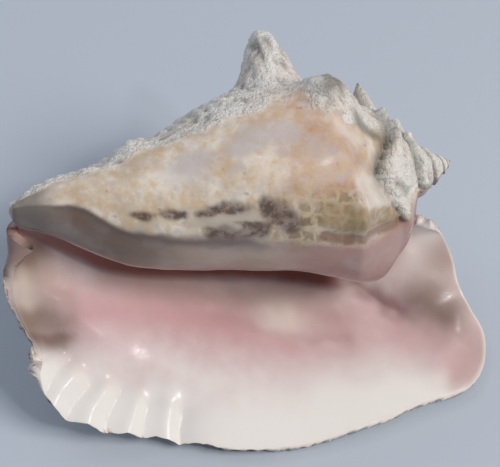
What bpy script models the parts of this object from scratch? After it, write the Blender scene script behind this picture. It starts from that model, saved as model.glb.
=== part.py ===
"""A queen conch shell, lying with its aperture up and its flared lip on the surface."""
import bpy
import bmesh
import numpy as np
from math import radians
from mathutils import Vector

# The shell's own frame, in millimetres and degrees: d runs along the axis from the apex,
# x points to the flared lip, v to the side that the aperture faces.
# An angle starts at x and turns towards v, the way the shell grew.
MM = 0.001
LENGTH = 218.0                 # apex to the tip of the siphonal canal
# The shoulder, where the spines stand: its distance and radius at half a turn on the last
# whorl and on each whorl before it, with one step for the growth still to come.
SHOULDER_TURNS = (-6, -5, -4, -3, -2, -1, 0, 0.5)
SHOULDER_D = (1.6, 3.6, 8.2, 16, 28, 42, 84, 116)
SHOULDER_R = (1.6, 3.4, 6.2, 10.6, 18, 30.5, 44, 52)
SUTURE_DROP = 1.05             # a whorl starts this much below the shoulder before it
SUTURE_SAG = (0.33, -281.0, 27.0)    # and lower still round this growth angle: share, angle, width
RAMP_POWER = 1.15              # how hollow the ramp is between suture and shoulder
STEP_SHARE, STEP_POWER, STEP_WAIST = 0.72, 1.3, 0.10    # stepped whorls of the spire
SEAM_DEPTH, SEAM_WIDTH = 0.10, 0.05    # groove along each suture, as shares of radius and distance
SPIRE_BEND = (2.6, 12.0, 10.0)         # the spire leans to the lip: by how much, where, half-width
APEX_RING = 1.0                # distance of the first ring of points from the apex

# Radius of the last whorl in equal steps from its shoulder to the tip of the canal
SIDE_ANGLES = (0, 90, 180, 270)
SIDE_RADII = (
    (47, 44, 41, 39, 37.5, 35, 31, 25, 18, 11, 3),
    (42, 43, 41.5, 38.5, 34.5, 30, 26, 21, 16, 11, 3),
    (45, 44.5, 42.5, 38, 31, 24.5, 20.5, 15.5, 13.5, 10.5, 3),
    (48, 49, 48, 45, 41, 36, 31, 25.5, 19.5, 12, 3),
)

# Inner lip: distance from the apex, and radius of its edge
INNER_LIP = ((0, 0), (15, 7), (20, 12), (23, 19), (25.5, 28), (29.5, 37), (36, 45), (44, 53),
             (50, 54), (60, 52), (68, 49), (85, 44), (107, 40.5), (134, 37), (153, 34), (168, 30),
             (179, 25), (188, 20), (197, 14), (205, 10.5), (214, 7), (218, 3))
INNER_LIP_FROM, INNER_LIP_POWER = 64.0, 1.8    # it swells out of the whorl from this angle to its edge
INNER_LIP_EDGE, INNER_LIP_UNDER = -2.0, -13.0  # angles of its edge and of the wall behind it

# Columella, the pillar behind the inner lip, seen only inside the aperture
COLUMELLA = ((0, 0), (30, 14), (42, 24), (60, 27), (90, 25), (120, 22), (150, 18), (180, 11),
             (200, 6), (218, 2))
THROAT_FROM, THROAT_FULL = 46.0, 60.0          # the aperture opens between these distances
THROAT_BACK, THROAT_FRONT = -88.0, -74.0       # angles where the far wall meets the pillar

# Spines: growth angle, distance from the apex, height, and the radius at half that height
SPINES = ((-1080, 9, 1.5, 1.8), (-970, 10, 1.6, 2), (-890, 12, 1.8, 2.2), (-835, 13, 2, 2.4),
          (-780, 15, 2.4, 2.6), (-725, 16, 2.6, 3), (-670, 18, 3, 3), (-615, 20, 3.2, 3.2),
          (-590, 26, 2, 3), (-565, 24, 1.6, 3), (-535, 27, 7, 3.6), (-485, 27, 5, 4),
          (-435, 29, 5, 4), (-385, 31, 5, 4.5), (-335, 33, 4, 4.5), (-290, 35, 4, 4.5),
          (-237, 40, 5.5, 3.6), (-205, 41, 3, 5), (-167, 42, 15, 5.8), (-118, 46, 11, 5),
          (-72, 54, 8, 6), (-28, 60, 4, 6), (103, 76, 3, 10), (146, 69, 14, 11),
          (193, 86, 32, 11), (240, 95, 26, 11))
SPINE_POWER, SPINE_RISE = 1.15, 0.93           # roundness of a spine, and its height off the radius
LIP_SPINE_PLACE, LIP_SPINE_TIP = (98, 21, -48), (98, 36, -78)
LIP_SPINE_RADIUS = 11.0
KNOB_D, KNOB_ANGLE, KNOB_HEIGHT, KNOB_RADIUS = 160.0, 176.0, 4.0, 7.0    # low knob near the canal

# Lines drawn on the last whorl: height, half-width, sharpness (1 sharp, 2 round), (d, angle) points
LINE_RADIUS = 35.0
BODY_LINES = (
    (4.6, 6.0, 2, ((66, 64), (56, 60), (48, 54), (42, 48), (36.5, 41))),
    (-1.6, 2.4, 2, ((84, 52), (66, 46), (52, 42), (42, 37), (36, 33))),
    (-1.8, 7.0, 2, ((50, 116), (54, 104), (58, 94), (60, 84))),
)

# Margin of the flared lip, from its seam at the spire round to the canal, as (d, x, v)
MARGIN = ((25, 29, 5), (16, 32, 0), (7, 35, -6), (3, 41, -8), (0, 50, -9), (-1, 62, -8),
          (-5, 75, -6), (-9, 88, -2), (-8, 95, 0), (-4, 102, 4), (4, 109, 8), (12, 112, 10),
          (33, 114, 10), (51, 118, 10), (74, 122, 8), (96, 125, 5), (116, 124, 1), (129, 122, -2),
          (142, 117, -6), (152, 115, -9), (162, 111, -12), (170, 109, -12), (187, 103, -13),
          (203, 94, -14), (209, 84, -14), (211, 75, -14), (209, 67, -14), (213, 57, -14),
          (217, 47, -14), (219, 36, -12), (217, 26, -10), (208, 17, -8.5), (215, 9, -6))
# Rows across the lip, each from a margin point in to the back of the throat, as (d, x, v)
LIP_ROWS = (
    ((25, 29, 5), (31, 23, -6), (41, 13, -20), (51, 3, -26), (60, -10, -22)),
    ((3, 41, -8), (24, 42, -14), (46, 36, -28), (60, 18, -38), (68, -10, -34)),
    ((-8, 95, 0), (22, 78, -12), (50, 56, -31), (66, 26, -42), (74, -10, -37)),
    ((33, 114, 10), (52, 88, -10), (72, 58, -33), (82, 26, -44), (88, -10, -38)),
    ((87, 124, 6), (94, 90, -12), (103, 57, -34), (109, 26, -44), (112, -10, -38)),
    ((142, 117, -6), (138, 84, -16), (137, 48, -31), (138, 20, -37), (138, -8, -31)),
    ((178, 106, -13), (169, 76, -18), (162, 43, -26), (158, 17, -29), (156, -6, -24)),
    ((210, 83, -14), (200, 59, -18), (190, 34, -21), (184, 13, -20), (181, -5, -14)),
    ((219, 36, -12), (214, 26, -14), (208, 16, -15), (203, 7, -12), (200, -2, -7)),
    ((215, 9, -6), (214, 7, -7), (213, 4, -6), (212, 1, -5), (211, -1, -3)),
)
LIP_THICKNESS = 5.0
LIP_COLUMNS, LIP_RINGS = 120, 24
# The lip's columns stand closer together at the pleats, its rings at the margin
COLUMN_STEPS = ((0, 0.35, 0.8, 1), (0, 0.45, 0.8, 1))
RING_POWER = 1.2
# Low swelling of the inner wall of the aperture: centre as (d, x), height and half-widths
SWELLING = ((84, 66), 6.5, (28, 12))
# Lines drawn on the lip, with (d, x) points: the pleats near the canal and their rounded
# crests, the folds at the canal, the border of the swelling, and the fold behind the inner lip
LIP_LINES = (
    (-4.0, 3.0, 1, ((211, 67), (205, 64), (199, 62))),
    (-4.4, 5.0, 1, ((212, 85), (206, 76), (201, 71), (195, 68))),
    (-5.2, 6.0, 1, ((204, 98), (198, 89), (193, 85), (188, 81))),
    (-5.2, 6.0, 1, ((186, 107), (183, 98), (179, 92), (174, 86))),
    (-4.8, 6.0, 1, ((169, 113), (166, 103), (163, 96))),
    (-4.2, 6.0, 1, ((151, 119), (150, 109), (147, 102))),
    (2.4, 5.0, 2, ((205, 90), (201, 84), (195, 79))),
    (2.6, 5.5, 2, ((192, 102), (188, 94), (181, 87))),
    (2.4, 5.0, 2, ((174, 109), (169, 101), (166, 95))),
    (2.0, 5.0, 2, ((158, 113), (156, 104), (153, 97))),
    (1.2, 6.0, 2, ((193, 46), (188, 54), (180, 62))),
    (1.6, 4.0, 2, ((214, 34), (206, 38), (198, 44))),
    (-1.0, 3.4, 2, ((121, 60), (110, 65), (102, 69), (97, 74), (88, 78),
                    (79, 82), (62, 85))),
    (-3.0, 3.6, 1, ((46, 56), (39, 63), (34, 68), (29, 71))),
    (2.0, 5.0, 2, ((41, 55), (32, 52), (24, 45))),
    (1.4, 6.0, 2, ((2, 78), (8, 92), (22, 102))),
)
LINE_SINK, LINE_LIFT = -0.6, 0.8               # what a raised line adds to x and to v
UNDER_SHARE = 0.3                              # share of it that shows on the under side

BODY_COLUMNS, BODY_RINGS = 76, 56
RING_SHARE, RING_SPLIT = 0.36, 50.0            # share of the rings above this distance
BODY_TRIANGLES, LIP_TRIANGLES = 5400, 4100     # kept after thinning
# Turns that lay the shell down on the margin of its lip and on the spine behind it
REST_TURNS = (80.0, 39.6, -79.6)
SHELL_COLOUR, SHELL_ROUGHNESS = (0.80, 0.66, 0.58, 1.0), 0.35


def curve(at, stops, values):
    """Smooth curve through the given values, without overshoot."""
    stops = np.asarray(stops, float)
    values = np.asarray(values, float)
    steps = np.diff(values) / np.diff(stops)
    slopes = np.zeros(len(stops))
    slopes[1:-1] = np.where(steps[1:] * steps[:-1] > 0, (steps[1:] + steps[:-1]) / 2, 0.0)
    slopes[0], slopes[-1] = steps[0], steps[-1]
    limit = 3 * np.minimum(np.abs(np.append(steps, steps[-1])), np.abs(np.insert(steps, 0, steps[0])))
    slopes = np.clip(slopes, -limit, limit)
    at = np.clip(np.asarray(at, float), stops[0], stops[-1])
    i = np.clip(np.searchsorted(stops, at) - 1, 0, len(stops) - 2)
    gap = stops[i + 1] - stops[i]
    t = (at - stops[i]) / gap
    rise = t * t * (3 - 2 * t)
    return (values[i] * (1 - rise) + values[i + 1] * rise
            + gap * slopes[i] * t * (1 - t) ** 2 - gap * slopes[i + 1] * t * t * (1 - t))


def ease(value, start, full):
    """0 at start, 1 at full, smooth between."""
    t = np.clip((np.asarray(value, float) - start) / (full - start), 0, 1)
    return t * t * (3 - 2 * t)


def shoulder(angle):
    """Distance and radius of the shoulder at a growth angle."""
    turn = (np.asarray(angle, float) - 180.0) / 360.0
    return (np.exp(curve(turn, SHOULDER_TURNS, np.log(SHOULDER_D))),
            np.exp(curve(turn, SHOULDER_TURNS, np.log(SHOULDER_R))))


def suture(angle):
    """Distance at which the whorl after this growth angle is joined on."""
    sag, place, width = SUTURE_SAG
    return shoulder(angle)[0] * (SUTURE_DROP + sag * np.exp2(-((angle - place) / width) ** 2))


def ramp_radius(d, angle):
    """Radius of the last whorl between its suture and its shoulder."""
    low_r = shoulder(angle - 360.0)[1]
    high_d = shoulder(angle)[0]
    high_r = side_radius(high_d, angle)
    start = suture(angle - 360.0)
    rise = np.clip((d - start) / (high_d - start), 0, 1)
    return low_r + (high_r - low_r) * rise ** RAMP_POWER


def spire_radius(d, angle):
    """Radius of a whorl of the spire, out to its shoulder and down to the next suture."""
    above, below = suture(angle - 360.0), suture(angle)
    low_r, high_r = shoulder(angle - 360.0)[1], shoulder(angle)[1]
    rise = (d - above) / (below - above)
    step = np.clip(rise / STEP_SHARE, 0, 1) ** STEP_POWER
    waist = STEP_WAIST * np.clip((rise - STEP_SHARE) / (1 - STEP_SHARE), 0, 1)
    radius = (low_r + (high_r - low_r) * step) * (1 - waist)
    return np.where((d < above) | (d > below + 0.5), 0.0, radius)


def side_radius(d, angle):
    """Radius of the last whorl below its shoulder."""
    start = shoulder(angle)[0]
    share = (d - start) / (LENGTH - start)
    steps = np.linspace(0, 1, len(SIDE_RADII[0]))
    radii = np.stack([curve(share, steps, row) for row in SIDE_RADII])
    turn = np.clip(angle, SIDE_ANGLES[0], SIDE_ANGLES[-1]) / 90.0
    i = np.clip(np.floor(turn).astype(int), 0, len(SIDE_RADII) - 2)
    t = ease(turn - i, 0, 1)
    low = np.take_along_axis(radii, i[None], 0)[0]
    high = np.take_along_axis(radii, i[None] + 1, 0)[0]
    return low + (high - low) * t


def whorl_radius(d, angle):
    """Radius of the last whorl, or nothing above its suture."""
    whole = np.where(d < shoulder(angle)[0], ramp_radius(d, angle), side_radius(d, angle))
    return np.where(d < suture(angle - 360.0), 0.0, whole)


def spine_height(d, angle):
    """Height of the spines and knobs at a place on the shell."""
    height = np.zeros(d.shape)
    for at, distance, tall, radius in SPINES:
        across = np.radians(angle - at) * shoulder(at)[1]
        reach = ((d - distance) ** 2 + across ** 2) / radius ** 2
        height = np.maximum(height, tall * np.exp2(-reach ** SPINE_POWER))
    return height


def seam_share(d, growth):
    """1 along the sutures between the whorls of the spire, falling off beside them."""
    seam = np.zeros(d.shape)
    for turn in range(1, len(SHOULDER_TURNS) - 2):
        beside = (d / suture(growth - 360.0 * turn) - 1.0) / SEAM_WIDTH
        seam = np.maximum(seam, np.exp2(-beside ** 2))
    return seam


def line_gap(places, line):
    """Distance of each place from a line drawn through points."""
    best = np.full(places.shape[:-1], np.inf)
    for a, b in zip(np.array(line[:-1], float), np.array(line[1:], float)):
        t = np.clip((places - a) @ (b - a) / ((b - a) @ (b - a)), 0, 1)
        best = np.minimum(best, np.linalg.norm(places - a - t[..., None] * (b - a), axis=-1))
    return best


def body_radius(d, phi):
    """Radius of the spire, last whorl and inner lip at angle phi, from THROAT_BACK once round."""
    growth = np.where(phi < INNER_LIP_EDGE, phi + 360.0, phi)
    spire = np.zeros(d.shape)
    spines = spine_height(d, growth)
    for turn in range(1, len(SHOULDER_TURNS) - 2):
        spire = np.maximum(spire, spire_radius(d, growth - 360.0 * turn))
        spines = np.maximum(spines, spine_height(d, growth - 360.0 * turn))
    outer = np.maximum(spire, whorl_radius(d, growth)) + SPINE_RISE * spines
    outer = outer * (1 - SEAM_DEPTH * seam_share(d, growth))
    # the inner lip swells out of the whorl
    lip = curve(d, *zip(*INNER_LIP))
    swell = ease(phi, INNER_LIP_FROM, INNER_LIP_EDGE) ** INNER_LIP_POWER * (phi >= INNER_LIP_EDGE)
    shell = outer + (np.maximum(lip, outer) - outer) * swell
    # behind its edge the wall falls back to the pillar
    pillar = curve(d, *zip(*COLUMELLA))
    spire = spire + SPINE_RISE * spines * (spire > 0)
    inside = spire + (pillar - spire) * ease(d, THROAT_FROM, THROAT_FULL)
    under = ease(phi, INNER_LIP_EDGE, INNER_LIP_UNDER)
    cut = np.where(phi < INNER_LIP_EDGE, lip + (inside - lip) * under, shell)
    back = ease(phi, THROAT_FRONT, THROAT_BACK)
    return np.where(phi < THROAT_FRONT, inside + (outer - inside) * back, cut)


def body_place(d, phi):
    """Point of the body's surface."""
    radius = body_radius(d, phi)
    knob = np.hypot(d - KNOB_D, np.radians(phi - KNOB_ANGLE) * radius) / KNOB_RADIUS
    radius = radius + KNOB_HEIGHT * np.exp2(-knob ** 2)
    front = ease(phi, INNER_LIP_EDGE, 0.0)
    unrolled = np.stack([d, np.radians(phi) * LINE_RADIUS], -1)
    for height, width, power, line in BODY_LINES:
        gap = line_gap(unrolled, [(at, radians(angle) * LINE_RADIUS) for at, angle in line])
        radius = radius + height * np.exp2(-(gap / width) ** power) * front
    bend, place, width = SPIRE_BEND
    lean = bend * np.exp2(-((d - place) / width) ** 2) * np.minimum(radius, 1.0)
    return np.stack([radius * np.cos(np.radians(phi)) + lean, radius * np.sin(np.radians(phi)), d], -1)


def margin_places(share):
    """Points of the lip's margin at shares of its length, and the shares of the rows."""
    margin = np.array(MARGIN, float)
    stops = np.insert(np.cumsum(np.linalg.norm(np.diff(margin, axis=0), axis=1)), 0, 0.0)
    stops = stops / stops[-1]
    return np.stack([curve(share, stops, margin[:, k]) for k in range(3)], -1), stops


def share_of(point, stops):
    """Share of the margin's length at the margin point nearest to a place."""
    gaps = np.linalg.norm(np.array(MARGIN, float) - np.array(point, float), axis=1)
    best = int(np.argmin(gaps))
    ahead = min(best + 1, len(MARGIN) - 1)
    behind = max(best - 1, 0)
    other = ahead if gaps[ahead] < gaps[behind] else behind
    if other == best:
        other = behind if best == ahead else ahead
    weight = gaps[best] / max(gaps[best] + gaps[other], 1e-9)
    return stops[best] * (1 - weight) + stops[other] * weight


def lip_place(share, across):
    """Point of the lip's upper face: across is 0 at the margin, 1 at the back of the throat."""
    edge, stops = margin_places(share)
    row_shares = [share_of(row[0], stops) for row in LIP_ROWS]
    row_shares[0], row_shares[-1] = 0.0, 1.0
    guides = [edge]
    for k in range(1, len(LIP_ROWS[0])):
        inner = np.array([row[k] for row in LIP_ROWS], float)
        guides.append(np.stack([curve(share, row_shares, inner[:, i]) for i in range(3)], -1))
    guides = np.stack(guides, 0)
    last = len(guides) - 1
    i = np.clip(np.floor(across * last).astype(int), 0, last - 1)
    t = (across * last - i)[..., None]
    columns = np.arange(guides.shape[1])
    before = guides[np.maximum(i - 1, 0), columns]
    start = guides[i, columns]
    end = guides[i + 1, columns]
    after = guides[np.minimum(i + 2, last), columns]
    place = 0.5 * (2 * start + (end - before) * t + (2 * before - 5 * start + 4 * end - after) * t ** 2
                   + (3 * start - 3 * end + after - before) * t ** 3)
    return place


def lip_lift(place):
    """Height of the swelling and the drawn lines over the plain lip."""
    centre, tall, widths = SWELLING
    near = ((place[..., 0] - centre[0]) / widths[0]) ** 2 + ((place[..., 1] - centre[1]) / widths[1]) ** 2
    lift = tall * np.exp2(-near)
    for height, width, power, line in LIP_LINES:
        lift = lift + height * np.exp2(-(line_gap(place[..., :2], line) / width) ** power)
    return lift


def local_point(d, x, v):
    """A place of the shell's own frame as Blender's local X, Y and Z, in metres."""
    return Vector((x, v, d)) * MM


def make_body():
    """Spire, last whorl and pillar: a sphere whose rings are moved along the axis."""
    bm = bmesh.new()
    bmesh.ops.create_uvsphere(bm, u_segments=BODY_COLUMNS, v_segments=BODY_RINGS, radius=1.0)
    # rings stand closer together towards the apex, as the whorls do
    steps = np.linspace(0, 1, BODY_RINGS + 1)
    rings = np.where(steps < RING_SHARE, APEX_RING * (RING_SPLIT / APEX_RING) ** (steps / RING_SHARE),
                     RING_SPLIT + (LENGTH - RING_SPLIT) * (steps - RING_SHARE) / (1 - RING_SHARE))
    rings[0], rings[-1] = 0.0, LENGTH
    places = np.array([vert.co for vert in bm.verts])
    polar = np.arccos(np.clip(places[:, 2], -1, 1)) / np.pi
    d = rings[np.round(polar * BODY_RINGS).astype(int)]
    turn = (np.degrees(np.arctan2(places[:, 1], places[:, 0])) / 360.0) % 1.0
    skin = body_place(d, THROAT_BACK + 360.0 * turn)
    skin[(d == 0) | (d == LENGTH), :2] = 0.0
    for vert, (x, v, along) in zip(bm.verts, skin):
        vert.co = local_point(along, x, v)
    bmesh.ops.recalc_face_normals(bm, faces=bm.faces)
    mesh = bpy.data.meshes.new("body")
    bm.to_mesh(mesh)
    bm.free()
    return mesh


def make_lip():
    """The flared lip: a grid drawn over the guides, thickened on its under side."""
    bm = bmesh.new()
    bmesh.ops.create_grid(bm, x_segments=LIP_COLUMNS, y_segments=LIP_RINGS, size=0.5)
    shares = curve([vert.co.x + 0.5 for vert in bm.verts], *COLUMN_STEPS)
    across = np.array([vert.co.y + 0.5 for vert in bm.verts]).clip(0, 1) ** RING_POWER
    plain = lip_place(shares, across)
    for vert, (d, x, v) in zip(bm.verts, plain):
        vert.co = local_point(d, x, v)
    count = len(bm.verts)
    bmesh.ops.recalc_face_normals(bm, faces=bm.faces)
    bm.normal_update()
    toward = sum(face.normal.y * face.calc_area() for face in bm.faces)
    if toward < 0:
        bmesh.ops.reverse_faces(bm, faces=bm.faces)
    bmesh.ops.solidify(bm, geom=bm.faces, thickness=LIP_THICKNESS * MM)
    bm.verts.index_update()
    # the under side has the points after the first ones, in the same order, and the last spine
    foot = local_point(*LIP_SPINE_PLACE)
    rise = local_point(*LIP_SPINE_TIP) - foot
    lifts = lip_lift(plain)
    for vert in bm.verts:
        lift = lifts[vert.index % count]
        if vert.index >= count:
            reach = (vert.co - foot).length / (LIP_SPINE_RADIUS * MM)
            vert.co += rise * 2.0 ** -(reach ** 2)
            lift *= UNDER_SHARE
        vert.co += local_point(0.0, LINE_SINK, LINE_LIFT) * lift
    bmesh.ops.recalc_face_normals(bm, faces=bm.faces)
    mesh = bpy.data.meshes.new("lip")
    bm.to_mesh(mesh)
    bm.free()
    return mesh


def place_object(name, mesh, collection, triangles):
    """An object that keeps the given number of triangles, most where it bends most."""
    shell = bpy.data.objects.new(name, mesh)
    collection.objects.link(shell)
    mesh.calc_loop_triangles()
    thin = shell.modifiers.new("facets", "DECIMATE")
    thin.ratio = triangles / len(mesh.loop_triangles)
    return shell


def shell_material():
    """Glazed shell: pale pink to cream, not metallic."""
    material = bpy.data.materials.new("glazed_shell")
    material.use_nodes = True
    shader = material.node_tree.nodes["Principled BSDF"]
    shader.inputs["Base Color"].default_value = SHELL_COLOUR
    shader.inputs["Roughness"].default_value = SHELL_ROUGHNESS
    shader.inputs["Metallic"].default_value = 0.0
    return material


def lay_down(shell):
    """Turn the shell to its rest and stand it on z = 0, centred on the origin."""
    shell.rotation_euler = [radians(turn) for turn in REST_TURNS]
    bpy.context.view_layer.update()
    seen = shell.evaluated_get(bpy.context.evaluated_depsgraph_get())
    places = np.array([shell.matrix_world @ vert.co for vert in seen.data.vertices])
    low, high = places.min(axis=0), places.max(axis=0)
    shell.location = (-(low[0] + high[0]) / 2, -(low[1] + high[1]) / 2, -low[2])


def main():
    for old in list(bpy.data.objects):
        bpy.data.objects.remove(old, do_unlink=True)
    parts = bpy.data.collections.new("conch_shell")
    helpers = bpy.data.collections.new("helpers")
    bpy.context.scene.collection.children.link(parts)
    bpy.context.scene.collection.children.link(helpers)
    shell = place_object("conch_shell", make_body(), parts, BODY_TRIANGLES)
    shell.data.materials.append(shell_material())
    lip = place_object("lip", make_lip(), helpers, LIP_TRIANGLES)
    lip.hide_render = True
    lip.display_type = "WIRE"
    lip.parent = shell
    union = shell.modifiers.new("lip", "BOOLEAN")
    union.operation = "UNION"
    union.solver = "EXACT"
    union.object = lip
    lay_down(shell)


main()
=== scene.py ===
# A queen conch shell, lying with its aperture up: its surface and finish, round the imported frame.
# Lengths in the dictionaries are millimetres and angles are degrees, unless a note says otherwise.
# In the shell's own frame d runs along the axis from the apex, x points to the flared lip and v to
# the side that the aperture faces. An angle starts at x and turns towards v, as the shell grew.
import bpy
import bmesh
import numpy as np
from math import pi, radians
from mathutils import Euler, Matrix, Vector, kdtree, noise


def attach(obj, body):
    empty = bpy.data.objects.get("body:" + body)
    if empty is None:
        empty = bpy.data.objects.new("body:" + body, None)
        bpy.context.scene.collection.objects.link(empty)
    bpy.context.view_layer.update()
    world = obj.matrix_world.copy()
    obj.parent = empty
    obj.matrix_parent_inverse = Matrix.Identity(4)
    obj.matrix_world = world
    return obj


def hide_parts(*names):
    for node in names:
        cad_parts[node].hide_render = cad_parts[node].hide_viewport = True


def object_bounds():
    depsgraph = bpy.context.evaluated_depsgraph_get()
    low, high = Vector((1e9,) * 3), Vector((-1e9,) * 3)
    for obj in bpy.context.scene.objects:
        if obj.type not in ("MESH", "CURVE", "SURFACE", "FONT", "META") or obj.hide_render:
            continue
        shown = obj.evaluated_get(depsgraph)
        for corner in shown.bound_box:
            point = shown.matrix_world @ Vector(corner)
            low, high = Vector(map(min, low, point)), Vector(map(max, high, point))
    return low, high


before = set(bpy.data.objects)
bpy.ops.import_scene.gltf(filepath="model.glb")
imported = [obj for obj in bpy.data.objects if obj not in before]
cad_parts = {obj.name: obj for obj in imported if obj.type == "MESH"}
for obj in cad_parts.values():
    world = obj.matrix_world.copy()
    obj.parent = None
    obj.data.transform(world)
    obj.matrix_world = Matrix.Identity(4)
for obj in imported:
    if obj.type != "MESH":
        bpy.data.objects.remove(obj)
cadLow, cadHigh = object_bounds()
mm = 0.001

whorls = {
    "length": 218.0,                                # apex to the tip of the canal
    "turns": (-6, -5, -4, -3, -2, -1, 0, 0.5),      # whorls counted back from half a turn
    "stepShare": 0.72, "stepWaist": 0.10,           # stepped whorls of the spire
    "stepPower": 1.3, "rampPower": 1.15,
    "seamDepth": 0.10, "seamWidth": 0.05,           # groove at each suture, as shares of r and d
    "shoulderD": (1.6, 3.6, 8.2, 16, 28, 42, 84, 116),
    "shoulderR": (1.6, 3.4, 6.2, 10.6, 18, 30.5, 44, 52),
    "sutureDrop": 1.05,
    "sutureSag": (0.33, -281.0, 27.0),              # the last suture hangs lower here: share, angle, width
    "spireBend": (2.6, 12.0, 10.0),                 # the spire leans to the lip: by how much, d, width
    "sideAngles": (0, 90, 180, 270),
    "sideRadii": (                                  # in equal steps from shoulder to canal
        (47, 44, 41, 39, 37.5, 35, 31, 25, 18, 11, 3),
        (42, 43, 41.5, 38.5, 34.5, 30, 26, 21, 16, 11, 3),
        (45, 44.5, 42.5, 38, 31, 24.5, 20.5, 15.5, 13.5, 10.5, 3),
        (48, 49, 48, 45, 41, 36, 31, 25.5, 19.5, 12, 3)),
}
innerLip = {
    "edge": ((0, 0), (15, 7), (20, 12), (23, 19), (25.5, 28), (29.5, 37), (36, 45), (44, 53),
             (50, 54), (60, 52), (68, 49), (85, 44), (107, 40.5), (134, 37), (153, 34), (168, 30),
             (179, 25), (188, 20), (197, 14), (205, 10.5), (214, 7), (218, 3)),
    "swellFrom": 64.0, "swellFull": -2.0, "swellPower": 1.8,
    "edgeAngle": -2.0, "underAngle": -13.0,
    "pillar": ((0, 0), (30, 14), (42, 24), (60, 27), (90, 25), (120, 22), (150, 18), (180, 11),
               (200, 6), (218, 2)),
    "throatFrom": 46.0, "throatFull": 60.0,
    "throatBack": -88.0, "throatFront": -74.0,
}
spines = {
    # growth angle, distance from the apex, height, radius at half that height
    "list": ((-1080, 9, 1.5, 1.8), (-970, 10, 1.6, 2), (-890, 12, 1.8, 2.2), (-835, 13, 2, 2.4),
             (-780, 15, 2.4, 2.6), (-725, 16, 2.6, 3), (-670, 18, 3, 3), (-615, 20, 3.2, 3.2),
             (-565, 24, 1.6, 3), (-535, 27, 7, 3.6), (-590, 26, 2, 3), (-485, 27, 5, 4),
             (-435, 29, 5, 4), (-385, 31, 5, 4.5), (-335, 33, 4, 4.5), (-290, 35, 4, 4.5),
             (-237, 40, 5.5, 3.6), (-205, 41, 3, 5), (-167, 42, 15, 5.8), (-118, 46, 11, 5),
             (-72, 54, 8, 6), (-28, 60, 4, 6), (103, 76, 3, 10), (146, 69, 14, 11),
             (193, 86, 32, 11), (240, 95, 26, 11)),
    "share": 0.93, "falloff": 1.15,                 # of the heights above, and how fast they fall off
    "lipFoot": (98, 21, -48), "lipTip": (98, 36, -78), "lipRadius": 11.0,
    "knob": (160.0, 176.0, 4.0, 7.0),
}
lip = {
    # the margin from its seam at the spire round to the canal, as (d, x, v)
    "margin": ((25, 29, 5), (16, 32, 0), (7, 35, -6), (3, 41, -8), (0, 50, -9), (-1, 62, -8),
               (-5, 75, -6), (-9, 88, -2), (-8, 95, 0), (-4, 102, 4), (4, 109, 8), (12, 112, 10),
               (33, 114, 10), (51, 118, 10), (74, 122, 8), (96, 125, 5), (116, 124, 1),
               (129, 122, -2), (142, 117, -6), (152, 115, -9), (162, 111, -12), (170, 109, -12),
               (187, 103, -13), (203, 94, -14), (209, 84, -14), (211, 75, -14), (209, 67, -14),
               (213, 57, -14), (217, 47, -14), (219, 36, -12), (217, 26, -10), (208, 17, -8.5),
               (215, 9, -6)),
    # rows from a margin point in to the back of the throat
    "rows": (
        ((25, 29, 5), (31, 23, -6), (41, 13, -20), (51, 3, -26), (60, -10, -22)),
        ((3, 41, -8), (24, 42, -14), (46, 36, -28), (60, 18, -38), (68, -10, -34)),
        ((-8, 95, 0), (22, 78, -12), (50, 56, -31), (66, 26, -42), (74, -10, -37)),
        ((33, 114, 10), (52, 88, -10), (72, 58, -33), (82, 26, -44), (88, -10, -38)),
        ((87, 124, 6), (94, 90, -12), (103, 57, -34), (109, 26, -44), (112, -10, -38)),
        ((142, 117, -6), (138, 84, -16), (137, 48, -31), (138, 20, -37), (138, -8, -31)),
        ((178, 106, -13), (169, 76, -18), (162, 43, -26), (158, 17, -29), (156, -6, -24)),
        ((210, 83, -14), (200, 59, -18), (190, 34, -21), (184, 13, -20), (181, -5, -14)),
        ((219, 36, -12), (214, 26, -14), (208, 16, -15), (203, 7, -12), (200, -2, -7)),
        ((215, 9, -6), (214, 7, -7), (213, 4, -6), (212, 1, -5), (211, -1, -3))),
    "thickness": 5.0,
    "swelling": ((84, 66), 6.5, (28, 12)),          # centre as (d, x), height, half-widths
    "marginLength": 500.0,                          # about, with its bends
    "strokeSink": (-0.6, 0.8), "underShare": 0.3,   # what a raised line adds to x and v, and below
}
# lines drawn on the last whorl, as (d, angle): height, half-width, sharpness (1 sharp, 2 round), points
strokeRadius = 35.0
bodyStrokes = (
    (4.6, 6.0, 2, ((66, 64), (56, 60), (48, 54), (42, 48), (36.5, 41))),            # rounded shoulder band
    (1.3, 2.0, 2, ((69, 74), (56, 66), (47, 59), (41, 52), (37.5, 45), (36, 40))),  # its pale fold
    (-1.6, 2.4, 2, ((84, 52), (66, 46), (52, 42), (42, 37), (36, 33))),             # hollow under it
    (-1.6, 1.8, 1, ((43, 120), (46, 112), (48, 104), (50, 96), (51, 87), (50, 79), (47, 68), (44, 60))),
    (-1.8, 7.0, 2, ((50, 116), (54, 104), (58, 94), (60, 84))),
    (-2.8, 1.5, 2, ((33, 45), (25, 43))),                                           # gash under the spire
)
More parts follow.
